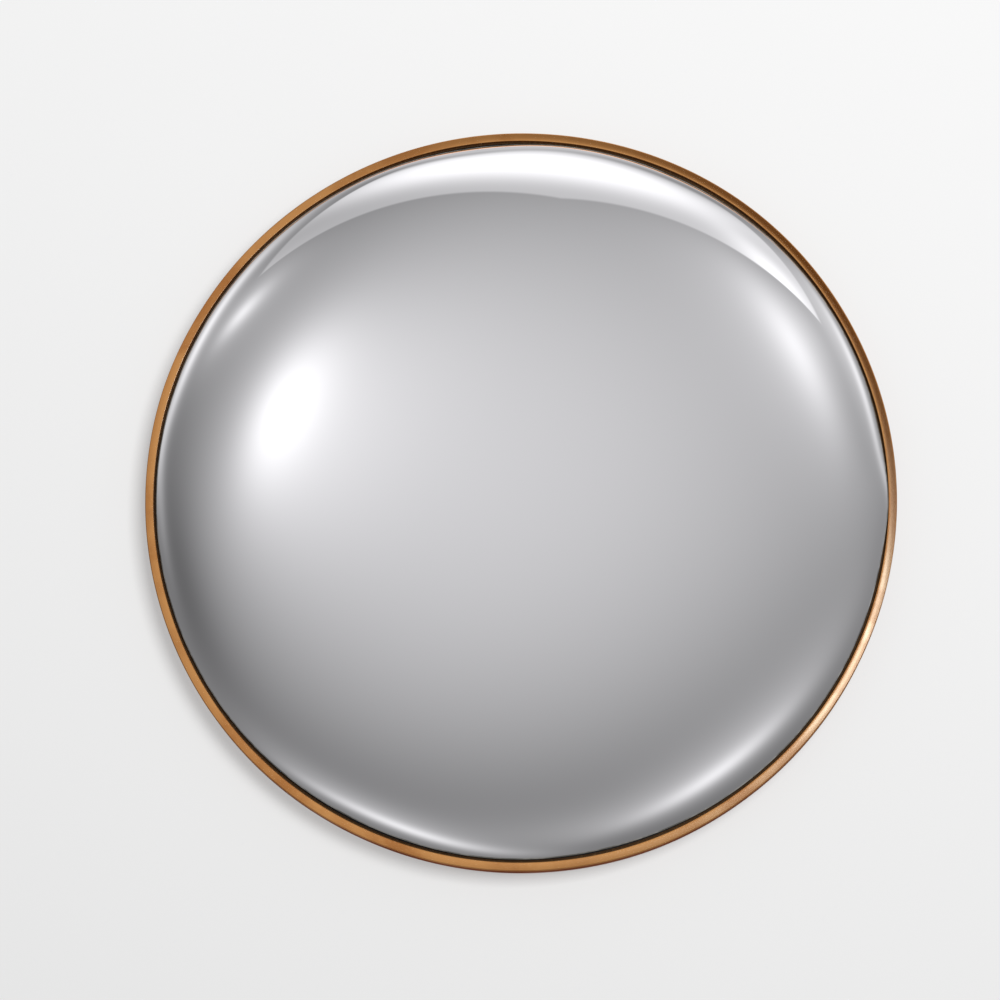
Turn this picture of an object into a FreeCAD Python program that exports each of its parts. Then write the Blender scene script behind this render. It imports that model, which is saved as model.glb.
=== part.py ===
import FreeCAD, Part
import math
import os

# Round convex wall mirror: a domed silvered glass bonded to a board inside a hoop of flat bar.
# Millimetres. The wall is the plane y = 0, the glass faces -Y, +Z is up, and the mirror's axis is Y.
os.makedirs("parts", exist_ok=True)
V = FreeCAD.Vector

# hoop: flat bar rolled on edge
frame_diameter = 610.0
bar_thickness = 7.0
bar_depth = 19.05
bar_edge_break = 0.7
wall_gap = 8.0

# domed glass, ground flat at its foot and round its edge
glass_gap = 2.0
glass_thickness = 4.0
dome_rise = 66.0
shoulder_radius = 119.0
rim_slope = 46.0
ground_edge_break = 0.4

# coats on the back of the glass
silver_thickness = 0.1
paint_thickness = 0.2
coat_clearance = 0.05

# board and what bonds the glass to it
board_thickness = 12.0
board_clearance = 0.5
tape_width = 12.0
tape_thickness = 1.6
bead_rise = 1.2
bead_clearance = 0.1

# lugs welded inside the hoop, flush with its back edge
lug_thickness = 2.5
lug_width = 22.0
lug_length = 28.0
lug_corner = 4.0
lug_screw_inset = 11.0
lug_angles = {"top": 90.0, "lower_left": 210.0, "bottom": 270.0, "lower_right": 330.0}
weld_clearance = 0.05

# pan-head screws
shank_radius = 1.9
head_radius = 3.5
head_height = 2.2
head_round = 0.9
drive_length = 4.0
drive_width = 0.9
drive_depth = 1.2
screw_bite = 5.5
pilot_clearance = 0.05
pilot_spare = 0.8
hole_clearance = 0.3

# folded strap hangers, each with a D-shaped ring
hanger_height = 146.0
hanger_margin = 8.0
strap_width = 12.7
strap_length = 40.0
strap_sheet = 1.0
strap_fold_gap = 0.2
strap_end_round = 3.0
strap_screw_drops = [11.0, 32.0]
ring_wire = 3.0
ring_inner_width = 25.0
ring_inner_length = 19.0
ring_corner = 4.0
ring_clearance = 0.05
ring_rest_clearance = 0.3
plate_side_margin = 12.0
plate_top_margin = 7.0
plate_bottom_margin = 6.0
plate_screw_side = 25.0
plate_screw_drop = 26.0

# rubber bumpers that stand the mirror off the wall
bumper_base_radius = 11.0
bumper_face_radius = 9.0
bumper_web = 4.0
bumper_inset = 36.6
bumper_first_angle = 45.0
bumper_names = ["upper_right", "upper_left", "lower_left", "lower_right"]
recess_radius = 5.2
washer_radius = 4.8
washer_thickness = 1.0

# depths, counted from the wall towards the viewer
frame_back = wall_gap
frame_front = frame_back + bar_depth
board_back = frame_back + lug_thickness
board_front = board_back + board_thickness
foot_depth = board_front + tape_thickness

# radii about the mirror's axis
frame_outer = frame_diameter / 2
frame_inner = frame_outer - bar_thickness
board_radius = frame_inner - board_clearance
glass_radius = frame_inner - glass_gap

# hangers
eye_inner = ring_wire / 2 + ring_clearance
eye_outer = eye_inner + strap_sheet
eye_y = -(frame_back - eye_outer)
strap_top = frame_back - 2 * strap_sheet - strap_fold_gap
ring_half_width = (ring_inner_width + ring_wire) / 2
ring_drop = ring_inner_length + ring_wire
raised_ring_top = hanger_height + ring_drop + ring_wire / 2
hanger_wall_x = math.sqrt(frame_inner ** 2 - raised_ring_top ** 2)
hanger_x = hanger_wall_x - ring_half_width - ring_wire / 2 - hanger_margin
ring_lift = ring_wire / 2 + ring_rest_clearance - (strap_top + eye_y)
ring_tilt = math.degrees(math.asin(ring_lift / ring_drop))
plate_screw = (hanger_x + plate_screw_side, hanger_height - plate_screw_drop)


def save(name, shape):
    shape.exportStep("parts/" + name + ".step")
    print(name, len(shape.Solids), shape.isValid(), round(shape.Volume, 1))


def rod(x, z, radius, near, far):
    """A round bar along Y from one depth to a greater one."""
    return Part.makeCylinder(radius, far - near, V(x, -near, z), V(0, -1, 0))


def turned(points):
    """The solid of revolution about Y of straight lines between (radius, depth) points."""
    corners = [V(radius, -depth, 0) for radius, depth in points]
    face = Part.Face(Part.makePolygon(corners + corners[:1]))
    return face.revolve(V(0, 0, 0), V(0, 1, 0), 360)


def upright_edges(shape):
    """The straight edges that run along Y."""
    return [e for e in shape.Edges if abs(e.BoundBox.YLength - e.Length) < 1e-6 and e.Length > 1e-6]


def polar(radius, angle):
    turn = math.radians(angle)
    return radius * math.cos(turn), radius * math.sin(turn)


def mirrored(shape):
    return shape.mirror(V(0, 0, 0), V(1, 0, 0))


# ---- hoop ----

def frame_band():
    b = bar_edge_break
    return turned([
        (frame_inner + b, frame_back), (frame_outer - b, frame_back),
        (frame_outer, frame_back + b), (frame_outer, frame_front - b),
        (frame_outer - b, frame_front), (frame_inner + b, frame_front),
        (frame_inner, frame_front - b), (frame_inner, frame_back + b)])


# ---- glass and its coats: a shallow crown with a tighter shoulder, both round ----

slope = math.radians(rim_slope)
cap_half_width = glass_radius - shoulder_radius * math.sin(slope)
cap_rise = dome_rise - shoulder_radius * (1 - math.cos(slope))
centre_spacing = (cap_half_width ** 2 + cap_rise ** 2) / (2 * cap_rise)
crown_angle = 2 * math.atan(cap_rise / cap_half_width)
crown_radius = centre_spacing + shoulder_radius
edge_depth = foot_depth + glass_thickness * math.cos(slope)


def dome_point(inset, angle, crown):
    """A point of the dome's surface, inset along its normal, where the normal leans by angle."""
    radius = (crown_radius if crown else shoulder_radius) - inset
    centre_r = 0 if crown else cap_half_width
    centre_depth = edge_depth + dome_rise - crown_radius
    if not crown:
        centre_depth = edge_depth - shoulder_radius * math.cos(slope)
    return V(centre_r + radius * math.sin(angle), -(centre_depth + radius * math.cos(angle)), 0)


def foot_angle(inset):
    """The normal's lean where a surface of this inset meets the foot's plane."""
    return math.acos((shoulder_radius - glass_thickness) * math.cos(slope) / (shoulder_radius - inset))


def dome_arcs(inset, end):
    """The crown arc and the shoulder arc, from the axis outwards."""
    crown = Part.Arc(dome_point(inset, 0, True), dome_point(inset, crown_angle / 2, True),
                     dome_point(inset, crown_angle, True))
    middle = (crown_angle + end) / 2
    shoulder = Part.Arc(dome_point(inset, crown_angle, True), dome_point(inset, middle, False),
                        dome_point(inset, end, False))
    return [crown.toShape(), shoulder.toShape()]


def dome_layer(outer, inner, edge_points):
    """The shell between two insets, closed at its foot through edge_points."""
    outer_end = slope if outer == 0 else foot_angle(outer)
    foot = [dome_point(outer, outer_end, False)] + edge_points
    foot.append(dome_point(inner, foot_angle(inner), False))
    edges = dome_arcs(outer, outer_end) + dome_arcs(inner, foot_angle(inner))
    edges.append(Part.makeLine(dome_point(outer, 0, True), dome_point(inner, 0, True)))
    for start, end in zip(foot, foot[1:]):
        edges.append(Part.makeLine(start, end))
    face = Part.Face(Part.Wire(Part.__sortEdges__(edges)))
    return face.revolve(V(0, 0, 0), V(0, 1, 0), 360)


def mirror_glass():
    b = ground_edge_break
    return dome_layer(0, glass_thickness, [
        V(glass_radius, -(foot_depth + b), 0),
        V(glass_radius - b, -foot_depth, 0)])


silver_inset = glass_thickness + coat_clearance
paint_inset = silver_inset + silver_thickness + coat_clearance


# ---- board, tape and bead ----

def backing_board():
    board = rod(0, 0, board_radius, board_back, board_front)
    for x, z, bite in lug_screws_at() + plate_screws_at() + strap_screws_at() + bumper_screws_at():
        board = board.cut(rod(x, z, shank_radius + pilot_clearance, board_back, board_back + bite + pilot_spare))
    return board


def glazing_tape():
    return turned([
        (glass_radius - tape_width, board_front), (glass_radius, board_front),
        (glass_radius, foot_depth), (glass_radius - tape_width, foot_depth)])


def sealant_bead():
    inner = glass_radius + bead_clearance
    return turned([
        (inner, board_front), (board_radius - bead_clearance, board_front), (inner, foot_depth + bead_rise)])


# ---- screws ----

def screw(x, z, seat, length):
    """A pan-head screw driven from the wall side; seat is the depth under its head."""
    head = rod(x, z, head_radius, seat - head_height, seat)
    rim = [e for e in head.Edges if abs(e.BoundBox.YMin + seat - head_height) < 1e-6 and e.BoundBox.YLength < 1e-6]
    head = head.makeFillet(head_round, rim)
    for across, along in ((drive_length, drive_width), (drive_width, drive_length)):
        corner = V(x - across / 2, -(seat - head_height + drive_depth), z - along / 2)
        head = head.cut(Part.makeBox(across, drive_depth, along, corner))
    straight = length - shank_radius
    shank = rod(x, z, shank_radius, seat, seat + straight)
    point = Part.makeCone(shank_radius, 0, shank_radius, V(x, -(seat + straight), z), V(0, -1, 0))
    return head.fuse([shank, point]).removeSplitter()


def lug_screws_at():
    places = [polar(frame_inner - lug_length + lug_screw_inset, angle) for angle in lug_angles.values()]
    return [(x, z, screw_bite) for x, z in places]


def plate_screws_at():
    x, z = plate_screw
    return [(x, z, screw_bite), (-x, z, screw_bite)]


def strap_screws_at():
    return [(side * hanger_x, hanger_height - drop, screw_bite) for side in (1, -1) for drop in strap_screw_drops]


def bumper_screws_at():
    places = [polar(frame_inner - bumper_inset, bumper_first_angle + 90 * i) for i in range(len(bumper_names))]
    return [(x, z, screw_bite) for x, z in places]


def screws(places, seat):
    return Part.makeCompound([screw(x, z, seat, board_back - seat + bite) for x, z, bite in places])


# ---- lugs and hanger plates ----

def lug(angle):
    """A flat tab from the hoop's inner wall towards the middle, drawn at angle 0 and turned."""
    outer = frame_inner - weld_clearance
    tab = Part.makeBox(lug_length, lug_thickness, lug_width,
                       V(frame_inner - lug_length, -board_back, -lug_width / 2))
    inner_edges = [e for e in upright_edges(tab) if e.BoundBox.XMax < frame_inner - lug_length / 2]
    tab = tab.makeFillet(lug_corner, inner_edges)
    tab = tab.common(rod(0, 0, outer, frame_back, board_back))
    tab = tab.cut(rod(frame_inner - lug_length + lug_screw_inset, 0, shank_radius + hole_clearance,
                      frame_back, board_back))
    tab.rotate(V(0, 0, 0), V(0, -1, 0), angle)
    return tab


def hanger_plate():
    """The wide lug on the right that carries a strap hanger."""
    left = hanger_x - plate_side_margin
    bottom = hanger_height - strap_length - plate_bottom_margin
    top = hanger_height + plate_top_margin
    plate = Part.makeBox(frame_inner - left, lug_thickness, top - bottom, V(left, -board_back, bottom))
    inner_edges = [e for e in upright_edges(plate) if e.BoundBox.XMax < hanger_x]
    plate = plate.makeFillet(lug_corner, inner_edges)
    plate = plate.common(rod(0, 0, frame_inner - weld_clearance, frame_back, board_back))
    holes = [plate_screw] + [(hanger_x, hanger_height - drop) for drop in strap_screw_drops]
    for x, z in holes:
        plate = plate.cut(rod(x, z, shank_radius + hole_clearance, frame_back, board_back))
    return plate


# ---- strap hangers and rings ----

def hanger_strap():
    """Sheet folded round the ring's straight bar, its two leaves lying on the plate."""
    left = hanger_x - strap_width / 2
    bottom = hanger_height - strap_length
    eye_axis = V(left, eye_y, hanger_height)
    eye = Part.makeCylinder(eye_outer, strap_width, eye_axis, V(1, 0, 0))
    leaves = Part.makeBox(strap_width, frame_back - strap_top, strap_length, V(left, -frame_back, bottom))
    end_edges = [e for e in upright_edges(leaves) if e.BoundBox.ZMax < bottom + strap_end_round]
    leaves = leaves.makeFillet(strap_end_round, end_edges)
    strap = leaves.fuse(eye).removeSplitter()
    strap = strap.cut(Part.makeCylinder(eye_inner, strap_width, eye_axis, V(1, 0, 0)))
    fold = Part.makeBox(strap_width, strap_fold_gap, strap_length,
                        V(left, -(frame_back - strap_sheet), bottom))
    strap = strap.cut(fold)
    for drop in strap_screw_drops:
        strap = strap.cut(rod(hanger_x, hanger_height - drop, shank_radius + hole_clearance, strap_top, frame_back))
    return strap


def hanger_ring():
    """Round wire bent to a D, hanging from its straight bar and leaning on the strap."""
    w = ring_half_width
    c = ring_corner
    arc_top = ring_drop - w
    bend = c * (1 - math.sqrt(0.5))

    def at(across, drop):
        return V(hanger_x + across, eye_y, hanger_height - drop)

    path = Part.Wire([
        Part.makeLine(at(0, 0), at(w - c, 0)),
        Part.Arc(at(w - c, 0), at(w - bend, bend), at(w, c)).toShape(),
        Part.makeLine(at(w, c), at(w, arc_top)),
        Part.Arc(at(w, arc_top), at(0, ring_drop), at(-w, arc_top)).toShape(),
        Part.makeLine(at(-w, arc_top), at(-w, c)),
        Part.Arc(at(-w, c), at(bend - w, bend), at(c - w, 0)).toShape(),
        Part.makeLine(at(c - w, 0), at(0, 0))])
    section = Part.Wire(Part.makeCircle(ring_wire / 2, at(0, 0), V(1, 0, 0)))
    ring = path.makePipeShell([section], True, False)
    ring = Part.makeSolid(ring) if ring.ShapeType != "Solid" else ring
    ring.rotate(at(0, 0), V(1, 0, 0), ring_tilt)
    return ring


# ---- bumpers ----

def bumper(x, z):
    """A tapered rubber foot with its washer and screw sunk in a recess."""
    foot = Part.makeCone(bumper_face_radius, bumper_base_radius, board_back, V(x, 0, z), V(0, -1, 0))
    foot = foot.cut(rod(x, z, recess_radius, 0, board_back - bumper_web))
    return foot.cut(rod(x, z, shank_radius + hole_clearance, 0, board_back))


def bumper_washer(x, z):
    near = board_back - bumper_web - washer_thickness
    washer = rod(x, z, washer_radius, near, near + washer_thickness)
    return washer.cut(rod(x, z, shank_radius + hole_clearance, near, near + washer_thickness))


save("frame_band", frame_band())
for place, lug_angle in lug_angles.items():
    save("frame_lug_" + place, lug(lug_angle))
save("mirror_glass", mirror_glass())
save("silver_film", dome_layer(silver_inset, silver_inset + silver_thickness, []))
save("backing_paint", dome_layer(paint_inset, paint_inset + paint_thickness, []))
save("glazing_tape", glazing_tape())
save("sealant_bead", sealant_bead())
save("backing_board", backing_board())
save("lug_screws", screws(lug_screws_at(), frame_back))
save("plate_screws", screws(plate_screws_at(), frame_back))
right_pieces = {"hanger_plate": hanger_plate(), "hanger_strap": hanger_strap(), "hanger_ring": hanger_ring()}
for piece, solid in right_pieces.items():
    save(piece + "_right", solid)
    save(piece + "_left", mirrored(solid))
drops = len(strap_screw_drops)
save("hanger_screws_right", screws(strap_screws_at()[:drops], strap_top))
save("hanger_screws_left", screws(strap_screws_at()[drops:], strap_top))
for place, (bumper_x, bumper_z, _) in zip(bumper_names, bumper_screws_at()):
    save("wall_bumper_" + place, bumper(bumper_x, bumper_z))
save("bumper_washers", Part.makeCompound([bumper_washer(x, z) for x, z, _ in bumper_screws_at()]))
save("bumper_screws", screws(bumper_screws_at(), board_back - bumper_web - washer_thickness))

print("crown radius", round(crown_radius, 1), "crown angle", round(math.degrees(crown_angle), 2))
print("hanger x", round(hanger_x, 2), "ring tilt", round(ring_tilt, 3), "eye y", eye_y)
print("glass edge depth", round(edge_depth, 3), "top of the dome", round(edge_depth + dome_rise, 3))
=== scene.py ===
import math
import bpy
import numpy as np
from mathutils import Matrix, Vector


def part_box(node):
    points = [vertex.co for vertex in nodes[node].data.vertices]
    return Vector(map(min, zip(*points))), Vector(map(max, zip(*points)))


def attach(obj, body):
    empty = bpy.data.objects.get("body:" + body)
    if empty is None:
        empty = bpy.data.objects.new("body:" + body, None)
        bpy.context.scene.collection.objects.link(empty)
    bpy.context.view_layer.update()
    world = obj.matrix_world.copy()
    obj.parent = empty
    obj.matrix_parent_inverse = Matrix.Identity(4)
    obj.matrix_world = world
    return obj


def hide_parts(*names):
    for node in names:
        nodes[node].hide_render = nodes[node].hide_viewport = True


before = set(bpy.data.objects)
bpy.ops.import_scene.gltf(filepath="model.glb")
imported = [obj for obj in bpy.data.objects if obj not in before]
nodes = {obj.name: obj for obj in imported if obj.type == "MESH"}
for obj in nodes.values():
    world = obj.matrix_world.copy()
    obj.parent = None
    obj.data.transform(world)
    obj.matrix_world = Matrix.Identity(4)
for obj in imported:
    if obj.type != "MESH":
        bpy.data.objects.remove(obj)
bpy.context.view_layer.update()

mm = 0.001


# ---- small helpers ----

def srgb(red, green, blue):
    # a colour written as on screen, 0 to 255, made linear
    def linear(value):
        value = value / 255
        return value / 12.92 if value <= 0.04045 else ((value + 0.055) / 1.055) ** 2.4
    return (linear(red), linear(green), linear(blue), 1.0)


class Wire:
    # one output socket, usable in a formula: each operator adds a Math node
    def __init__(self, shade, socket):
        self.shade = shade
        self.socket = socket

    def calc(self, operation, *others):
        inputs = dict(enumerate((self,) + others))
        return self.shade.node("ShaderNodeMath", {"operation": operation}, inputs)

    def __add__(self, other):
        return self.calc("ADD", other)

    def __radd__(self, other):
        return self.calc("ADD", other)

    def __mul__(self, other):
        return self.calc("MULTIPLY", other)

    def __rmul__(self, other):
        return self.calc("MULTIPLY", other)

    def __sub__(self, other):
        return self.calc("SUBTRACT", other)

    def __rsub__(self, other):
        return self.shade.node("ShaderNodeMath", {"operation": "SUBTRACT"}, {0: other, 1: self})

    def __truediv__(self, other):
        return self.calc("DIVIDE", other)

    def __rtruediv__(self, other):
        return self.shade.node("ShaderNodeMath", {"operation": "DIVIDE"}, {0: other, 1: self})

    def __pow__(self, power):
        return self.calc("POWER", power)


class Shade:
    # a node tree and the one method that adds a node to it
    def __init__(self, tree):
        self.tree = tree
        tree.nodes.clear()

    def node(self, kind, settings=None, sockets=None, out=0):
        made = self.tree.nodes.new(kind)
        for name, value in (settings or {}).items():
            if name == "stops":
                self.setStops(made.color_ramp, value)
            else:
                setattr(made, name, value)
        for name, value in (sockets or {}).items():
            if isinstance(value, Wire):
                self.tree.links.new(value.socket, made.inputs[name])
            else:
                made.inputs[name].default_value = value
        return Wire(self, made.outputs[out]) if len(made.outputs) else None

    def setStops(self, ramp, stops):
        while len(ramp.elements) < len(stops):
            ramp.elements.new(1.0)
        for element, (place, colour) in zip(ramp.elements, stops):
            element.position = place
            element.color = colour

    def objectPlace(self):
        return self.node("ShaderNodeTexCoord", out="Object")

    def scaled(self, place, scale):
        return self.node("ShaderNodeMapping", None, {"Vector": place, "Scale": scale})

    def parts(self, vector):
        split = self.node("ShaderNodeSeparateXYZ", None, {0: vector}).socket.node
        return [Wire(self, output) for output in split.outputs]

    def noise(self, place, scale, detail=3.0, rough=0.5, warp=0.0):
        return self.node("ShaderNodeTexNoise", None, {
            "Vector": place, "Scale": scale, "Detail": detail, "Roughness": rough, "Distortion": warp})

    def ramp(self, value, low, high, toLow=0.0, toHigh=1.0, kind="SMOOTHSTEP"):
        # a smooth step from toLow to toHigh as value goes from low to high
        return self.node("ShaderNodeMapRange", {"interpolation_type": kind}, {
            0: value, 1: low, 2: high, 3: toLow, 4: toHigh})

    def mixed(self, mask, first, second):
        return self.node("ShaderNodeMix", {"data_type": "RGBA"}, {0: mask, 6: first, 7: second}, out=2)

    def bump(self, height, distance, strength=1.0, normal=None):
        sockets = {"Height": height, "Distance": distance, "Strength": strength}
        if normal:
            sockets["Normal"] = normal
        return self.node("ShaderNodeBump", None, sockets)

    def finish(self, **sockets):
        # the one Principled shader of a material; names are the sockets' with _ for a space
        named = {name.replace("_", " "): value for name, value in sockets.items()}
        surface = self.node("ShaderNodeBsdfPrincipled", None, named)
        self.node("ShaderNodeOutputMaterial", None, {"Surface": surface})


def material(name):
    made = bpy.data.materials.new(name)
    made.use_nodes = True
    return made, Shade(made.node_tree)


def orient(points, quads):
    # signed volume of the fan of each face about the origin; a negative sum means inside out
    a, b, c, d = (points[quads[:, i]] for i in range(4))
    volume = np.einsum("ij,ij->i", a, np.cross(b, c) + np.cross(c, d)).sum()
    return quads if volume > 0 else quads[:, ::-1]


def gridPiece(name, points, closedRows=False, closedColumns=True, uv=None, sharp=None, flip=None):
    # a rows x columns x 3 grid of points made a mesh; a row of equal points becomes one pole
    rows, columns = points.shape[:2]
    pole = np.ptp(points, axis=1).max(axis=1) < 1e-9
    index = np.zeros((rows, columns), int)
    start = 0
    for row in range(rows):
        count = 1 if pole[row] else columns
        index[row] = start if pole[row] else start + np.arange(columns)
        start += count
    flat = np.concatenate([points[row, :1] if pole[row] else points[row] for row in range(rows)])
    lower = np.arange(rows if closedRows else rows - 1)
    left = np.arange(columns if closedColumns else columns - 1)
    r0, c0 = (grid.ravel() for grid in np.meshgrid(lower, left, indexing="ij"))
    r1, c1 = (r0 + 1) % rows, (c0 + 1) % columns
    quads = np.stack([index[r0, c0], index[r0, c1], index[r1, c1], index[r1, c0]], 1)
    turned = orient(flat, quads)
    backwards = turned is not quads if flip is None else flip
    quads = quads[:, ::-1] if backwards else quads
    mesh = bpy.data.meshes.new(name)
    mesh.from_pydata(flat.tolist(), [], [list(dict.fromkeys(face)) for face in quads.tolist()])
    if uv is not None:
        corner = [(r0, c0), (r0, c0 + 1), (r0 + 1, c0 + 1), (r0 + 1, c0)]
        corner = corner[::-1] if backwards else corner
        places = np.stack([uv[r, c] for r, c in corner], 1)
        keep = np.stack([~pole[r % rows] | (c % columns == c0) for r, c in corner], 1)
        layer = mesh.uv_layers.new(name="along")
        layer.data.foreach_set("uv", places[keep].astype(np.float32).ravel())
    mesh.polygons.foreach_set("use_smooth", np.ones(len(mesh.polygons), bool))
    if sharp:
        mesh.set_sharp_from_angle(angle=math.radians(sharp))
    mesh.update()
    piece = bpy.data.objects.new(name, mesh)
    bpy.context.scene.collection.objects.link(piece)
    return piece


def turnedPoints(radius, depth, steps):
    # a profile (radius, depth from the wall) swept about the Y axis: x = r cos t, y = -depth, z = r sin t
    turn = np.linspace(0, 2 * math.pi, steps, endpoint=False)
    radius, depth = np.asarray(radius), np.asarray(depth)
    if radius.ndim == 1:
        radius = np.repeat(radius[:, None], steps, 1)
        depth = np.repeat(depth[:, None], steps, 1)
    return np.stack([radius * np.cos(turn), -depth, radius * np.sin(turn)], -1)


def finished(piece, body, slot, surface, *replaced):
    # rides, material and the CAD nodes it stands for, in one call; slot is not used
    for made in surface if isinstance(surface, list) else [surface]:
        piece.data.materials.append(made)
    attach(piece, body)
    if replaced:
        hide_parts(*replaced)
    return piece


# ---- camera and backdrop ----

view = {"distance": 3.0, "elevation": -11.05, "azimuth": 0.96, "lens": 132.01, "sensor": 36.0,
        "target": (-0.0170, 0.0, 0.0010)}
backdropSettings = {"behind": 0.5 * mm, "halfWidth": 4.0, "top": 2.6, "floor": -1.25, "cove": 0.35, "reach": 3.2,
                    "upper": srgb(248, 248, 248), "lower": srgb(237, 237, 237), "fadeTop": 0.42, "fadeBottom": -0.42,
                    "glow": 0.45}           # share of the wall's own colour that no shadow dims


def makeCamera():
    turn, rise = math.radians(view["azimuth"]), math.radians(view["elevation"])
    away = np.array([math.sin(turn) * math.cos(rise), -math.cos(turn) * math.cos(rise), math.sin(rise)])
    place = away * view["distance"]
    ahead = np.array(view["target"]) - place
    ahead = ahead / np.linalg.norm(ahead)
    side = np.cross(ahead, (0, 0, 1))
    side = side / np.linalg.norm(side)
    over = np.cross(side, ahead)
    data = bpy.data.cameras.new("frontCamera")
    data.lens = view["lens"]
    data.sensor_width = view["sensor"]
    camera = bpy.data.objects.new("frontCamera", data)
    bpy.context.scene.collection.objects.link(camera)
    grid = np.eye(4)
    grid[:3, 0], grid[:3, 1], grid[:3, 2], grid[:3, 3] = side, over, -ahead, place
    camera.matrix_world = grid.T.tolist()
    bpy.context.scene.camera = camera


def makeBackdrop():
    # a wall, a cove of quarter-round section and a floor, as one sheet; seen only from its front
    s = backdropSettings
    turn = np.linspace(0, math.pi / 2, 16)
    coveY = s["behind"] - s["cove"] * (1 - np.cos(turn))
    coveZ = s["floor"] + s["cove"] * (1 - np.sin(turn))
    y = np.concatenate([[s["behind"]], coveY, [s["behind"] - s["reach"]]])
    z = np.concatenate([[s["top"]], coveZ, [s["floor"]]])
    x = np.linspace(-s["halfWidth"], s["halfWidth"], 3)
    points = np.stack([np.broadcast_to(x, (len(y), 3)), np.repeat(y[:, None], 3, 1), np.repeat(z[:, None], 3, 1)], -1)
    wall = gridPiece("backdrop", points, closedColumns=False, flip=True)
    made, shade = material("palePaint")
    # the wall's colour is painted paler at the top and darker at the bottom: a painted shading gradient
    height = shade.parts(shade.objectPlace())[2]
    base = shade.mixed(shade.ramp(height, s["fadeBottom"], s["fadeTop"], kind="LINEAR"), s["lower"], s["upper"])
    paint = shade.node("ShaderNodeBsdfDiffuse", None, {"Color": base})
    glow = shade.node("ShaderNodeEmission", None, {"Color": base, "Strength": 1.0})
    paint = shade.node("ShaderNodeMixShader", None, {0: s["glow"], 1: paint, 2: glow})
    seen = shade.node("ShaderNodeLightPath", out="Is Camera Ray")
    front = 1 - shade.node("ShaderNodeNewGeometry", out="Backfacing")
    clear = shade.node("ShaderNodeBsdfTransparent")
    surface = shade.node("ShaderNodeMixShader", None, {0: seen * front, 1: clear, 2: paint})
    shade.node("ShaderNodeOutputMaterial", None, {"Surface": surface})
    wall.data.materials.append(made)


makeCamera()
makeBackdrop()
print("camera and backdrop made")


# ---- studio: what glass and metal reflect, by direction ----
# Each direction is laid flat round the mirror's axis: its distance from the middle is its angle from straight
# ahead, in degrees, and u and v are that distance to the right and upwards.

# middle (u, v), half size (along, across), turn, level, and how square its bell is
softLights = {
    "middleGlow": ((-8, 9), (41, 36), 0, 0.36, 1.0),
    "roomGlow": ((14, 36), (64, 42), 0, 0.15, 1.2),
    "sideGlow": ((66, 8), (34, 46), 0, 0.08, 1.0),
    "leftBoxCore": ((-31, 22), (9.5, 6.5), 58, 0.55, 0.9),
    "leftBoxHalo": ((-28, 18), (18, 14), 40, 0.26, 1.0),
    "leftBlob": ((-51, 47), (6.5, 3.8), 15, 0.45, 0.9),
    "leftBlobHalo": ((-53, 49), (15, 11), 20, 0.22, 1.0),
    "leftScreen": ((-68, -2), (17, 24), 12, -0.08, 1.0),
    "leftRim": ((-88, 20), (6, 20), 12, 0.14, 1.0),
    "rightFan": ((42, 36), (12, 6.5), -58, 0.38, 0.9),
    "rightHalo": ((40, 36), (24, 15), -50, 0.21, 1.0),
    "rightVeil": ((63, 55), (27, 9), -60, 0.30, 1.0),
    "underTip": ((50, 43), (11, 8), -50, 0.14, 1.0),
    "rightStreak": ((76, 46), (27, 4.6), -66, 0.48, 0.9),
    "leftStreak": ((-73, 56), (28, 5.5), 57, 0.48, 0.9),
    "leftStreakHalo": ((-72, 60), (46, 11), 55, 0.24, 1.0),
    "overRim": ((-4, 102), (62, 7), 0, 0.38, 1.0),
    "lowerLeftArc": ((-28, -67), (24, 5.2), -22, 0.46, 0.9),
    "lowerLeftHalo": ((-34, -61), (32, 13), -26, 0.24, 1.0),
    "lowerRightArc": ((38, -45), (16, 5.5), 41, 0.42, 0.9),
    "lowerRightHalo": ((38, -41), (32, 14), 42, 0.28, 1.0),
    "lowGlow": ((4, -56), (30, 14), 0, 0.08, 1.0),
}
# the overhead panel is an arch whose low edge is two shallow bows: middle u, top v, bend
panel = {
    "bows": ((-27, 61.4, 0.0045), (17, 57.4, 0.0044)), "notch": 5.0, "soft": 0.6, "fade": (92, 99),
    "archMiddle": (3.0, 48.0), "archSize": (56.5, 54.0), "level": 0.18,
    "core": ((2, 79), (41, 14), -7, 0.80, 1.6), "tip": ((47, 54.5), (12.5, 7.5), -42, 0.60, 1.0),
}
studio = {
    "base": 0.18, "rimGain": 0.02, "rimFrom": 78.0, "rimTo": 98.0,
    "behind": 0.55,                      # level of the pale room behind the wall plane
    # what brass shows besides: one lamp, a small window to its right, and a dark screen round the upper right
    "metalLights": [((14.9, 3.8), (5.5, 3.0), -25, 9.0, 1.2), ((29, 8), (4.5, 4.5), 0, 1.2, 1.0),
                    ((12.5, -4.5), (7, 5), -30, 0.7, 1.0), ((100, -8), (34, 15), 0, 1.3, 1.0),
                    ((-20, 104), (60, 22), 0, 0.35, 1.0)],
    "metalShades": [((16, 21.5), (16, 9), 118, 0.86, 1.6), ((0, 33), (8, 12), 0, 0.42, 1.0),
                    ((-28, 19), (9, 13), 0, 0.50, 1.0), ((-90, 4), (44, 44), 0, 0.45, 1.0)],
    "metalGlow": ((-9, -6), (20, 13), 25, 0.19, 1.0),
    "lampTint": (0.42, 0.76, 1.75), "shadeTint": (0.93, 1.03, 1.12),    # cool lamps and warm dark, by channel
    "glassTint": (1.005, 0.997, 1.012),      # the clear glass looks a little cool
    "ambient": 0.25, "backdrop": srgb(239, 239, 239),
}


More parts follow.
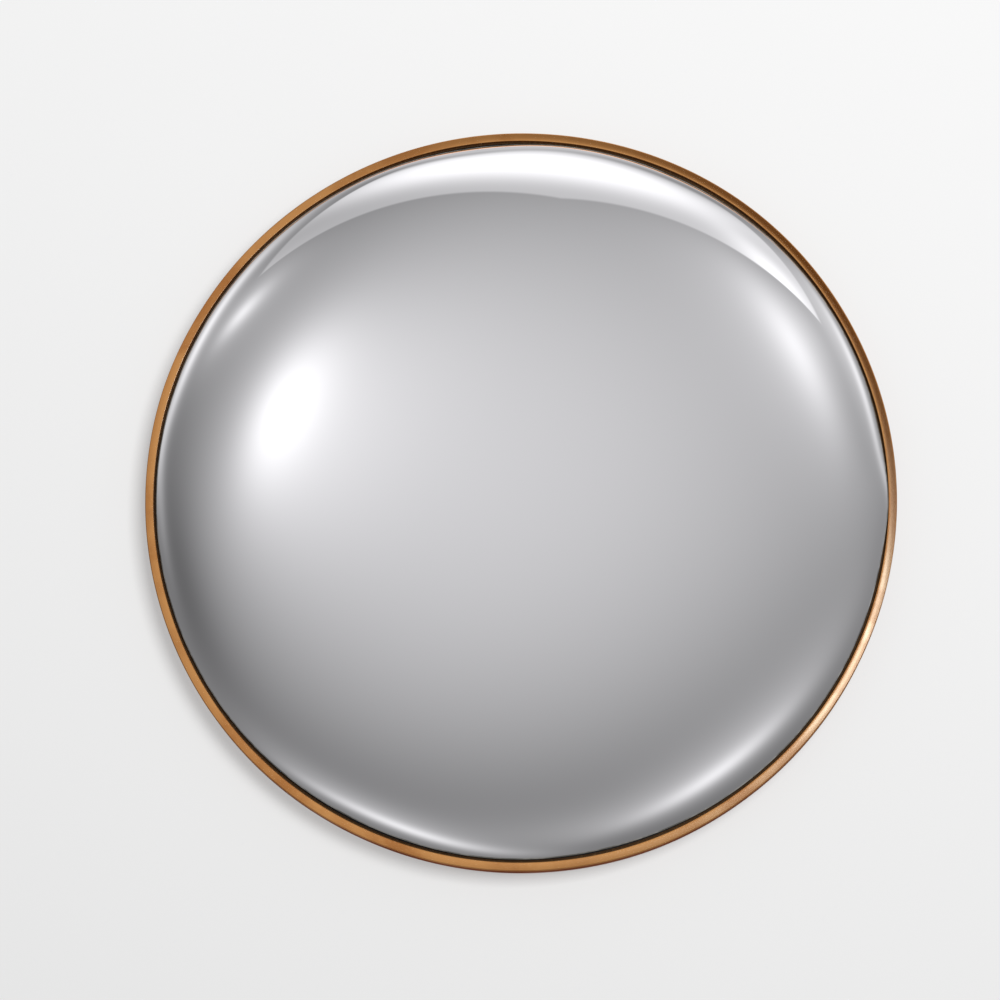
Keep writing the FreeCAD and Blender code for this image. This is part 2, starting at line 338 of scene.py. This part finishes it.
def lightShape(shade, u, v, shape):
    # level times exp(-(x^2 + y^2)^square), where x and y are u and v about the middle, turned and divided by
    # the half size
    (middleU, middleV), (along, across), turn, level, square = shape
    c, s = math.cos(math.radians(turn)), math.sin(math.radians(turn))
    du, dv = u - middleU, v - middleV
    x = (du * c + dv * s) / along
    y = (dv * c - du * s) / across
    reach = x * x + y * y
    if square != 1.0:
        reach = reach ** square
    return (0 - reach).calc("EXPONENT") * level


def panelLight(shade, u, v, angle):
    # inside the arch and above its two bows: a level, a bright core and a bright tip
    p = panel
    bows = [top - (u - middle) * (u - middle) * bend for middle, top, bend in p["bows"]]
    right = u.calc("GREATER_THAN", p["notch"])
    low = bows[0] * (1 - right) + bows[1] * right
    inside = shade.ramp(v - low, -p["soft"], p["soft"])
    x = (u - p["archMiddle"][0]) / p["archSize"][0]
    y = (v - p["archMiddle"][1]) / p["archSize"][1]
    inside = inside * shade.ramp(x * x + y * y, 0.95, 1.03, 1.0, 0.0) * shade.ramp(angle, *p["fade"], 1.0, 0.0)
    return inside * (lightShape(shade, u, v, p["core"]) + lightShape(shade, u, v, p["tip"]) + p["level"])


def makeWorld():
    world = bpy.data.worlds.new("studioWorld")
    world.use_nodes = True
    bpy.context.scene.world = world
    world.cycles.sampling_method = "NONE"    # it is too even to sample, and what it shows goes by the kind of ray
    shade = Shade(world.node_tree)
    s = studio
    x, y, z = shade.parts(shade.node("ShaderNodeTexCoord", out="Generated"))
    angle = (0 - y).calc("MINIMUM", 1.0).calc("MAXIMUM", -1.0).calc("ARCCOSINE") * math.degrees(1)
    spread = (x * x + z * z + 1e-8).calc("SQRT")
    u, v = angle * x / spread, angle * z / spread
    level = shade.ramp(angle, s["rimFrom"], s["rimTo"], s["base"], s["base"] + s["rimGain"])
    for shape in softLights.values():
        level = level + lightShape(shade, u, v, shape)
    level = level + panelLight(shade, u, v, angle)
    # rough metal also sees lamps, a glow and dark screens near the camera that the clear glass does not show
    metal = level + lightShape(shade, u, v, s["metalGlow"])
    lamps, dark = (sum(lightShape(shade, u, v, shape) for shape in s[group]) for group in ("metalLights", "metalShades"))
    past = shade.ramp(angle, 96.0, 112.0)
    sharp = shade.node("ShaderNodeLightPath", out="Is Singular Ray")
    channels = []
    for lampTint, shadeTint, glassTint in zip(s["lampTint"], s["shadeTint"], s["glassTint"]):
        rough = metal * (1 - dark * shadeTint).calc("MAXIMUM", 0.0) + lamps * lampTint
        clear = level * (1 - past) + past * s["behind"]
        rough = rough * (1 - past) + past * s["behind"]
        channels.append(clear * sharp * glassTint + rough * (1 - sharp))
    path = shade.node("ShaderNodeLightPath").socket.node.outputs
    glossy = Wire(shade, path["Is Glossy Ray"]).calc("MAXIMUM", Wire(shade, path["Is Transmission Ray"]))
    camera = Wire(shade, path["Is Camera Ray"])
    room = shade.node("ShaderNodeCombineColor", None, dict(enumerate(channels)))
    ambient = (s["ambient"],) * 3 + (1.0,)
    colour = shade.mixed(glossy, ambient, room)
    colour = shade.mixed(camera, colour, s["backdrop"])
    light = shade.node("ShaderNodeBackground", None, {"Color": colour, "Strength": 1.0})
    shade.node("ShaderNodeOutputWorld", None, {"Surface": light})


lampSettings = {
    "keyLamp": {"place": (1.62, -4.70, 0.55), "size": 2.2, "power": 197.0},
    "backLamp": {"place": (-1.6, 2.6, 1.4), "size": 1.6, "power": 80.0},
}


def makeLamps():
    for name, s in lampSettings.items():
        data = bpy.data.lights.new(name, "AREA")
        data.size = s["size"]
        data.energy = s["power"]
        lamp = bpy.data.objects.new(name, data)
        bpy.context.scene.collection.objects.link(lamp)
        ahead = -np.array(s["place"]) / np.linalg.norm(s["place"])
        side = np.cross(ahead, (0, 0, 1))
        side = side / np.linalg.norm(side)
        grid = np.eye(4)
        grid[:3, 0], grid[:3, 1], grid[:3, 2], grid[:3, 3] = side, np.cross(side, ahead), -ahead, s["place"]
        lamp.matrix_world = grid.T.tolist()
        lamp.visible_glossy = False


bpy.context.scene.view_settings.view_transform = "Standard"
makeWorld()
makeLamps()
print("studio made")


# ---- finishes ----

brassFace = {
    "base": srgb(231, 168, 103), "worn": srgb(240, 186, 122), "tarnish": srgb(176, 104, 50), "pit": srgb(104, 60, 24),
    "rough": 0.11, "roughTarnish": 0.22, "brushDepth": 0.006 * mm, "edgeTint": (1.0, 1.0, 1.0, 1.0),
}
# the bar's outer and back walls: browner and duller as left rolled, and also painted darker, with a dark tint at a
# glancing angle, as painted shade on walls that face away from the lamps
brassSideShaded = dict(brassFace, base=srgb(172, 112, 62), worn=srgb(196, 134, 80), tarnish=srgb(120, 70, 34),
                 rough=0.30, roughTarnish=0.45, edgeTint=(0.36, 0.17, 0.06, 1.0))


def agedBrass(name, s):
    # fine lines round the hoop from its own uv map, patches of tarnish, small dark pits
    made, shade = material(name)
    place = shade.objectPlace()
    along = shade.node("ShaderNodeUVMap", {"uv_map": "along"})
    lines = shade.noise(shade.scaled(along, (260.0, 5200.0, 1.0)), 1.0, 2.0, 0.6)
    broad = shade.noise(shade.scaled(along, (60.0, 900.0, 1.0)), 1.0, 3.0, 0.6)
    patches = shade.noise(place, 14.0, 4.0, 0.6, 0.4)
    grains = shade.noise(place, 900.0, 2.0, 0.5)
    tarnish = shade.ramp(patches, 0.40, 0.72) * 0.55 + broad * 0.25
    pits = shade.ramp(grains * 0.6 + patches * 0.4, 0.66, 0.74)
    colour = shade.mixed(tarnish, s["base"], s["tarnish"])
    colour = shade.mixed(shade.ramp(lines, 0.45, 0.75) * 0.35, colour, s["worn"])
    colour = shade.mixed(pits * 0.6, colour, s["pit"])
    rough = tarnish * (s["roughTarnish"] - s["rough"]) + lines * 0.06 + s["rough"]
    normal = shade.bump(lines + broad * 0.5, s["brushDepth"])
    shade.finish(Base_Color=colour, Metallic=1.0, Roughness=rough, Normal=normal, Specular_Tint=s["edgeTint"])
    return made


def weldedBrass():
    # brass-brushed steel of the lugs and plates: duller, with streaks and rust-brown in the low places
    made, shade = material("weldedBrass")
    place = shade.objectPlace()
    streaks = shade.noise(shade.scaled(place, (900.0, 60.0, 90.0)), 1.0, 3.0, 0.6)
    blotch = shade.noise(place, 60.0, 4.0, 0.6, 0.5)
    dirt = shade.ramp(blotch, 0.48, 0.70)
    colour = shade.mixed(streaks * 0.6, srgb(196, 148, 92), srgb(158, 108, 60))
    colour = shade.mixed(dirt * 0.6, colour, srgb(92, 58, 34))
    normal = shade.bump(streaks * 0.6 + blotch * 0.4, 0.03 * mm)
    shade.finish(Base_Color=colour, Metallic=1.0, Roughness=dirt * 0.22 + streaks * 0.08 + 0.32, Normal=normal)
    return made


def silveredGlass():
    # a clean silvered dome: near-perfect mirror, a breath of grey-blue, the faintest roll marks
    made, shade = material("silveredGlass")
    place = shade.objectPlace()
    waves = shade.noise(place, 5.0, 1.0, 0.5)
    haze = shade.noise(place, 2.5, 3.0, 0.55)
    colour = shade.mixed(haze, srgb(251, 251, 252), srgb(249, 249, 251))
    normal = shade.bump(waves, 0.05 * mm)
    shade.finish(Base_Color=colour, Metallic=1.0, Roughness=0.0, Normal=normal)
    return made


def groundGlass():
    # the ground edge: dark green-grey with the paint behind it, with pale, coated patches that are partly rough
    # grinding and partly painted glints
    made, shade = material("groundGlass")
    place = shade.objectPlace()
    grit = shade.noise(place, 1400.0, 2.0, 0.6)
    chipsAndGlints = shade.noise(place, 55.0, 3.0, 0.6)
    bright = shade.ramp(chipsAndGlints, 0.56, 0.66)
    colour = shade.mixed(grit, srgb(104, 104, 92), srgb(146, 146, 132))
    # painted glints: near-white patches with a coat, standing in for light catching the edge
    colour = shade.mixed(bright, colour, srgb(214, 216, 212))
    shade.finish(Base_Color=colour, Roughness=grit * 0.2 + 0.35, Coat_Weight=bright * 0.5, Coat_Roughness=0.2,
                 Normal=shade.bump(grit, 0.05 * mm))
    return made


def arrisGlass():
    # the thin bevel along the dome's edge, with paler patches that are partly rough grinding and partly painted
    # glints where it would catch the light
    made, shade = material("arrisGlass")
    place = shade.objectPlace()
    grit = shade.noise(place, 1600.0, 2.0, 0.6)
    chipsAndGlints = shade.noise(place, 38.0, 4.0, 0.65)
    colour = shade.mixed(shade.ramp(chipsAndGlints, 0.40, 0.62), srgb(104, 103, 98), srgb(156, 155, 151))
    shade.finish(Base_Color=colour, Roughness=grit * 0.2 + 0.30, Normal=shade.bump(grit, 0.04 * mm))
    return made


def silverCoat():
    made, shade = material("silverCoat")
    cloud = shade.noise(shade.objectPlace(), 40.0, 4.0, 0.6)
    colour = shade.mixed(cloud, srgb(206, 206, 202), srgb(182, 176, 164))
    shade.finish(Base_Color=colour, Metallic=1.0, Roughness=cloud * 0.15 + 0.12, Normal=shade.bump(cloud, 0.02 * mm))
    return made


def backingPaint():
    made, shade = material("backingPaint")
    place = shade.objectPlace()
    peel = shade.noise(place, 420.0, 2.0, 0.5)
    shadeOver = shade.noise(place, 18.0, 3.0, 0.5)
    colour = shade.mixed(shadeOver, srgb(84, 86, 88), srgb(66, 68, 70))
    shade.finish(Base_Color=colour, Roughness=peel * 0.15 + 0.5, Normal=shade.bump(peel, 0.08 * mm))
    return made


def foamTape():
    made, shade = material("foamTape")
    place = shade.objectPlace()
    cells = shade.node("ShaderNodeTexVoronoi", None, {"Vector": place, "Scale": 1900.0})
    blotch = shade.noise(place, 90.0, 3.0, 0.5)
    colour = shade.mixed(cells * 0.8 + blotch * 0.2, srgb(24, 24, 25), srgb(52, 52, 54))
    shade.finish(Base_Color=colour, Roughness=0.92, Normal=shade.bump(cells, 0.12 * mm))
    return made


def blackSealant():
    made, shade = material("blackSealant")
    place = shade.objectPlace()
    tooled = shade.noise(place, 130.0, 3.0, 0.55)
    dust = shade.noise(place, 900.0, 2.0, 0.5)
    colour = shade.mixed(shade.ramp(dust, 0.50, 0.75) * 0.6, srgb(70, 52, 34), srgb(124, 98, 68))
    shade.finish(Base_Color=colour, Roughness=tooled * 0.25 + 0.35, Normal=shade.bump(tooled, 0.25 * mm))
    return made


board = {"paint": srgb(46, 44, 42), "paintPale": srgb(62, 59, 55), "fibre": srgb(150, 112, 74)}


def paintedBoard():
    # fibreboard rolled black-brown: short fibres under the paint, roller stipple, scuffs down to the fibre
    made, shade = material("paintedBoard")
    place = shade.objectPlace()
    fibres = shade.noise(shade.scaled(place, (260.0, 260.0, 2400.0)), 1.0, 3.0, 0.65, 0.6)
    across = shade.noise(shade.scaled(place, (2400.0, 260.0, 260.0)), 1.0, 3.0, 0.65, 0.6)
    stipple = shade.noise(place, 700.0, 3.0, 0.6)
    cloud = shade.noise(place, 9.0, 4.0, 0.6)
    marks = shade.noise(shade.scaled(place, (30.0, 30.0, 190.0)), 1.0, 5.0, 0.7)
    scuffs = shade.ramp(marks, 0.66, 0.74) * shade.ramp(cloud, 0.45, 0.65)
    colour = shade.mixed(cloud * 0.7 + fibres * 0.3, board["paint"], board["paintPale"])
    colour = shade.mixed(scuffs * 0.55, colour, board["fibre"])
    height = fibres * 0.5 + across * 0.5 + stipple * 0.6
    shade.finish(Base_Color=colour, Roughness=stipple * 0.18 + scuffs * 0.2 + 0.52, Normal=shade.bump(height, 0.10 * mm))
    return made


def zincPlate():
    # yellow-tinted zinc: slight rainbow clouds and fine turned marks
    made, shade = material("zincPlate")
    place = shade.objectPlace()
    cloud = shade.noise(place, 220.0, 3.0, 0.6, 0.6)
    fine = shade.noise(place, 2600.0, 2.0, 0.6)
    colour = shade.node("ShaderNodeValToRGB", {"stops": [
        (0.30, srgb(212, 212, 206)), (0.48, srgb(196, 200, 206)), (0.60, srgb(214, 206, 184)),
        (0.78, srgb(184, 180, 178))]}, {0: cloud})
    shade.finish(Base_Color=colour, Metallic=1.0, Roughness=fine * 0.12 + 0.24, Normal=shade.bump(fine, 0.015 * mm))
    return made


def platedStrap():
    # nickel-plated sheet: pressed marks along its length, dull spots
    made, shade = material("platedStrap")
    place = shade.objectPlace()
    rolled = shade.noise(shade.scaled(place, (2400.0, 500.0, 110.0)), 1.0, 3.0, 0.6)
    spots = shade.noise(place, 150.0, 4.0, 0.6)
    dull = shade.ramp(spots, 0.50, 0.72)
    colour = shade.mixed(dull * 0.7, srgb(208, 206, 200), srgb(150, 144, 132))
    shade.finish(Base_Color=colour, Metallic=1.0, Roughness=rolled * 0.12 + dull * 0.18 + 0.20,
                 Normal=shade.bump(rolled, 0.02 * mm))
    return made


def drawnWire():
    # nickel-plated wire: fine die lines, brighter where it rubs in its eye
    made, shade = material("drawnWire")
    place = shade.objectPlace()
    lines = shade.noise(shade.scaled(place, (700.0, 2200.0, 160.0)), 1.0, 2.0, 0.6)
    spots = shade.noise(place, 260.0, 3.0, 0.6)
    colour = shade.mixed(shade.ramp(spots, 0.52, 0.75) * 0.6, srgb(214, 212, 206), srgb(158, 152, 142))
    shade.finish(Base_Color=colour, Metallic=1.0, Roughness=lines * 0.10 + 0.16, Normal=shade.bump(lines, 0.012 * mm))
    return made


def bumperRubber():
    # moulded rubber: fine matt skin, faint bloom and dust
    made, shade = material("bumperRubber")
    place = shade.objectPlace()
    skin = shade.noise(place, 1500.0, 3.0, 0.6)
    bloom = shade.noise(place, 60.0, 4.0, 0.6)
    colour = shade.mixed(shade.ramp(bloom, 0.42, 0.75), srgb(28, 28, 29), srgb(58, 57, 56))
    shade.finish(Base_Color=colour, Roughness=skin * 0.18 + 0.62, Normal=shade.bump(skin, 0.04 * mm))
    return made


finishes = {make.__name__: make() for make in (
    weldedBrass, silveredGlass, groundGlass, arrisGlass, silverCoat, backingPaint, foamTape,
    blackSealant, paintedBoard, zincPlate, platedStrap, drawnWire, bumperRubber)}
finishes["brassFace"] = agedBrass("brassFace", brassFace)
finishes["brassSideShaded"] = agedBrass("brassSideShaded", brassSideShaded)
print("finishes made:", len(finishes))


# ---- hoop ----

hoop = {"steps": 512, "bar": 7.0 * mm, "innerEdge": 0.6 * mm, "outerEdge": 0.95 * mm, "backEdge": 0.6 * mm,
        "crown": 0.55 * mm, "crownPower": 1.6, "crownSteps": 9, "arcSteps": 5, "wallSteps": 5}
# where the rolled bar bows out of its round: angle, half width in degrees, amount in mm
hoopWander = [(53, 36, 1.1), (222, 30, 0.4), (290, 18, 0.4), (163, 16, 0.4)]


def hoopBow(steps):
    # each bow is a squared cosine that ends at its half width
    turn = np.linspace(0, 360, steps, endpoint=False)
    total = np.zeros(steps)
    for angle, half, amount in hoopWander:
        away = np.clip(np.abs((turn - angle + 180) % 360 - 180) / half, 0, 1)
        total += amount * mm * np.cos(away * math.pi / 2) ** 2
    return total


def quarterArc(middleR, middleDepth, radius, start):
    # a quarter circle about the middle, starting at an angle, in degrees, without its ends
    turn = np.radians(start) + np.linspace(0, math.pi / 2, hoop["arcSteps"] + 2)[1:-1]
    return np.stack([middleR + radius * np.cos(turn), middleDepth + radius * np.sin(turn)], 1)


def makeHoop():
    # the bar's section, its front face crowned so that it falls towards the outside, swept round the axis
    s = hoop
    low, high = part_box("frame_band")
    outer, back, front = high.x, -high.y, -low.y
    inner = outer - s["bar"]
    fall = front - s["crown"]
    a, b, c = s["innerEdge"], s["outerEdge"], s["backEdge"]
    t = np.linspace(0, 1, s["crownSteps"])
    face = np.stack([inner + a + (outer - b - inner - a) * t, front - s["crown"] * t ** s["crownPower"]], 1)

    def straight(startR, startDepth, endR, endDepth):
        return np.linspace((startR, startDepth), (endR, endDepth), s["wallSteps"])

    profile = np.concatenate([
        straight(inner, back + c, inner, front - a),
        quarterArc(inner + a, front - a, a, 90)[::-1],
        face,
        quarterArc(outer - b, fall - b, b, 0)[::-1],
        straight(outer, fall - b, outer, back + c),
        quarterArc(outer - c, back + c, c, 270)[::-1],
        straight(outer - c, back, inner + c, back),
        quarterArc(inner + c, back + c, c, 180)[::-1]])
    steps = s["steps"]
    points = turnedPoints(profile[:, :1] + hoopBow(steps), np.repeat(profile[:, 1:], steps, 1), steps)
    run = np.concatenate([[0], np.cumsum(np.linalg.norm(np.roll(profile, -1, 0) - profile, axis=1))])
    around = np.linspace(0, 2 * math.pi * outer, steps + 1)
    uv = np.stack([np.broadcast_to(around, (len(run), steps + 1)), np.repeat(run[:, None], steps + 1, 1)], -1)
    ring = gridPiece("brass_hoop", points, closedRows=True, uv=uv)
    row = np.arange(len(ring.data.polygons)) // steps
    firstSide = s["wallSteps"] + s["crownSteps"] + 2 * s["arcSteps"] - 1
    # rows past the face take the darker brass: painted shade on the outer and back walls
    ring.data.polygons.foreach_set("material_index", (row >= firstSide).astype(np.int32))
    return finished(ring, "mirror", "aged_brass", [finishes["brassFace"], finishes["brassSideShaded"]], "frame_band")


# ---- domed glass ----

dome = {"steps": 512, "frontRows": 110, "rise": 66.0 * mm, "slope": 46.0, "arris": 0.8 * mm,
        "thickness": 4.0 * mm, "wanderBase": -0.2 * mm}
# how far the hand-ground edge stands out from, or in from, its round: angle, spread in degrees, amount in mm
edgeWander = [(-1, 6, 2.1), (65, 12, -0.4), (45, 14, 0.5), (97, 10, -1.0), (245, 14, -0.9), (285, 12, -0.7), (165, 20, 0.4),
              (25, 14, 0.4)]


def edgeRadius(turn, radius):
    # the round radius plus a bell at each of edgeWander's angles
    total = np.full_like(turn, radius + dome["wanderBase"])
    for angle, spread, amount in edgeWander:
        away = (np.degrees(turn) - angle + 180) % 360 - 180
        total += amount * mm * np.exp(-(away / spread) ** 2)
    return total


def domeDepth(r, radius, rise, slope):
    # an ellipse of revolution with this rise whose edge slopes by slope: rise above the edge at each r
    k = rise / (math.tan(math.radians(slope)) * radius)
    q = k / (1 - k)
    height = rise / (1 - q)
    width = radius / math.sqrt(1 - q * q)
    return height * (np.sqrt(1 - (r / width) ** 2) - q)


def domeSurface(inset, radius, share):
    # the dome's front profile moved in along its normal by inset
    r = radius * share
    depth = edgeDepth + domeDepth(r, radius, dome["rise"], dome["slope"])
    slope = np.gradient(depth, r, edge_order=2)
    length = np.sqrt(1 + slope * slope)
    return r + slope / length * inset, depth - inset / length


def makeGlass():
    radius = glassRadius
    share = np.sin(np.linspace(0, math.pi / 2, dome["frontRows"])) * (1 - dome["arris"] / radius)
    frontR, frontDepth = domeSurface(0.0, radius, share)
    backR, backDepth = domeSurface(dome["thickness"], radius, share[::-4])
    foot = footDepth
    backR, backDepth = backR[backDepth > foot], backDepth[backDepth > foot]
    wallR = [radius, radius, radius - dome["arris"]]
    wallDepth = [frontDepth[-1] - dome["arris"], foot + dome["arris"], foot]
    r = np.concatenate([frontR, wallR, [backR[0] + 0.2 * mm], backR, [0.0]])
    depth = np.concatenate([frontDepth, wallDepth, [foot], backDepth, [backDepth[-1]]])
    r[0] = 0.0
    steps = dome["steps"]
    turn = np.linspace(0, 2 * math.pi, steps, endpoint=False)
    # the wander fades in over the outer tenth of the radius
    fade = np.clip((r / radius - 0.9) / 0.1, 0, 1)[:, None] ** 2
    points = turnedPoints(r[:, None] + fade * (edgeRadius(turn, radius) - radius)[None, :],
                          np.repeat(depth[:, None], steps, 1), steps)
    glass = gridPiece("domed_glass", points, sharp=25)
    glass = finished(glass, "mirror", "convex_glass",
                     [finishes["silveredGlass"], finishes["groundGlass"], finishes["arrisGlass"]], "mirror_glass")
    place = np.zeros(len(glass.data.polygons) * 3, np.float32)
    glass.data.polygons.foreach_get("center", place)
    place = place.reshape(-1, 3)
    out = np.hypot(place[:, 0], place[:, 2])
    front = -place[:, 1]
    row = np.arange(len(out)) // steps
    which = np.zeros(len(out), np.int32)
    which[row == len(frontR) - 1] = 2
    which[(row > len(frontR) - 1) & (row < len(frontR) + 3)] = 1
    glass.data.polygons.foreach_set("material_index", which)
    return glass


def makeCoat(name, node, slot, surface, inset, thick):
    share = np.sin(np.linspace(0, math.pi / 2, 60))
    outerR, outerDepth = domeSurface(inset, glassRadius, share)
    innerR, innerDepth = domeSurface(inset + thick, glassRadius, share)
    low = footDepth + 0.1 * mm
    keepOuter, keepInner = outerDepth > low, innerDepth > low
    r = np.concatenate([outerR[keepOuter], innerR[keepInner][::-1]])
    depth = np.concatenate([outerDepth[keepOuter], innerDepth[keepInner][::-1]])
    r[0] = r[-1] = 0.0
    coat = gridPiece(name, turnedPoints(r, depth, 256))
    return finished(coat, "mirror", slot, finishes[surface], node)


def makeBead():
    # fills the gap from the glass to the hoop's bowed wall; its top is tooled hollow
    low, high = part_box("sealant_bead")
    base, top = -high.y, -low.y
    start = glassRadius + 0.1 * mm
    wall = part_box("frame_band")[1].x - hoop["bar"] + 0.05 * mm
    t = np.linspace(0, 1, 7)
    share = np.concatenate([t[[0, -1]], t[::-1]])
    depth = np.concatenate([[base, base], base + 0.8 * mm + (top - base - 0.8 * mm) * (1 - t[::-1]) ** 2])
    steps = hoop["steps"]
    r = start + share[:, None] * (wall - start + hoopBow(steps))
    bead = gridPiece("sealant_ring", turnedPoints(r, np.repeat(depth[:, None], steps, 1), steps), closedRows=True,
                     sharp=40)
    return finished(bead, "mirror", "sealant", finishes["blackSealant"], "sealant_bead")


weld = {"along": 60, "around": 14, "radius": 1.5 * mm, "ripple": 0.10, "pitch": 1.7 * mm, "sunk": 0.9 * mm,
        "inset": 0.5 * mm}


def makeWeld(name, node):
    # a rippled bead along the seam between a lug or plate and the hoop, half sunk in both
    s = weld
    low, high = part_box(node)
    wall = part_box("frame_band")[1].x - hoop["bar"] - s["inset"]
    sign = 1 if low.x + high.x > 0 else -1
    if name in ("top", "bottom"):
        middle = math.pi / 2 if high.z > 0 else -math.pi / 2
        half = math.asin(high.x / wall)
        ends = (middle - half, middle + half)
    elif name in ("left", "right"):
        rise = [math.asin(z / wall) for z in (low.z, high.z)]
        ends = rise if sign > 0 else [math.pi - angle for angle in rise]
    else:
        middle = math.radians(330 if sign > 0 else 210)
        half = math.asin(11 * mm / wall)
        ends = (middle - half, middle + half)
    t = np.linspace(0, 1, s["along"])
    turn = ends[0] + (ends[1] - ends[0]) * t
    run = np.abs(turn - turn[0]) * wall
    girth = np.sqrt(np.clip(1 - np.abs(2 * t - 1) ** 10, 0, 1))
    girth = s["radius"] * girth * (1 + s["ripple"] * np.sin(run / s["pitch"] * 2 * math.pi))
    round_ = np.linspace(0, 2 * math.pi, s["around"], endpoint=False)
    r = wall + girth[:, None] * np.cos(round_)
    depth = -high.y + s["sunk"] + girth[:, None] * np.sin(round_)
    points = np.stack([r * np.cos(turn)[:, None], -depth, r * np.sin(turn)[:, None]], -1)
    piece = gridPiece("weld_" + name, points)
    return finished(piece, "mirror", "aged_brass", finishes["weldedBrass"])


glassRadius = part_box("mirror_glass")[1].x
footDepth = -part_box("mirror_glass")[1].y
edgeDepth = footDepth + dome["thickness"] * math.cos(math.radians(dome["slope"]))
makeHoop()
makeGlass()
makeCoat("silver_coat", "silver_film", "silvering", "silverCoat", 4.05 * mm, 0.1 * mm)
makeCoat("back_paint", "backing_paint", "backing_paint", "backingPaint", 4.2 * mm, 0.2 * mm)
makeBead()
print("hoop, glass and bead made")
for name, node in {"top": "frame_lug_top", "lower_left": "frame_lug_lower_left", "bottom": "frame_lug_bottom",
                   "lower_right": "frame_lug_lower_right", "left": "hanger_plate_left",
                   "right": "hanger_plate_right"}.items():
    makeWeld(name, node)
print("welds made")


# ---- CAD nodes whose shape is right: finishes on their slots ----

nodeFinish = {
    "frame_lug": "weldedBrass", "hanger_plate": "weldedBrass", "glazing_tape": "foamTape",
    "backing_board": "paintedBoard",
    "lug_screws": "zincPlate", "plate_screws": "zincPlate",
    "hanger_strap": "platedStrap", "hanger_ring": "drawnWire", "hanger_screws": "zincPlate",
    "wall_bumper": "bumperRubber", "bumper_washers": "zincPlate", "bumper_screws": "zincPlate",
}
for name, node in nodes.items():
    for start, finish in nodeFinish.items():
        if name.startswith(start):
            node.data.materials.clear()
            node.data.materials.append(finishes[finish])
print("finishes put on the CAD nodes")
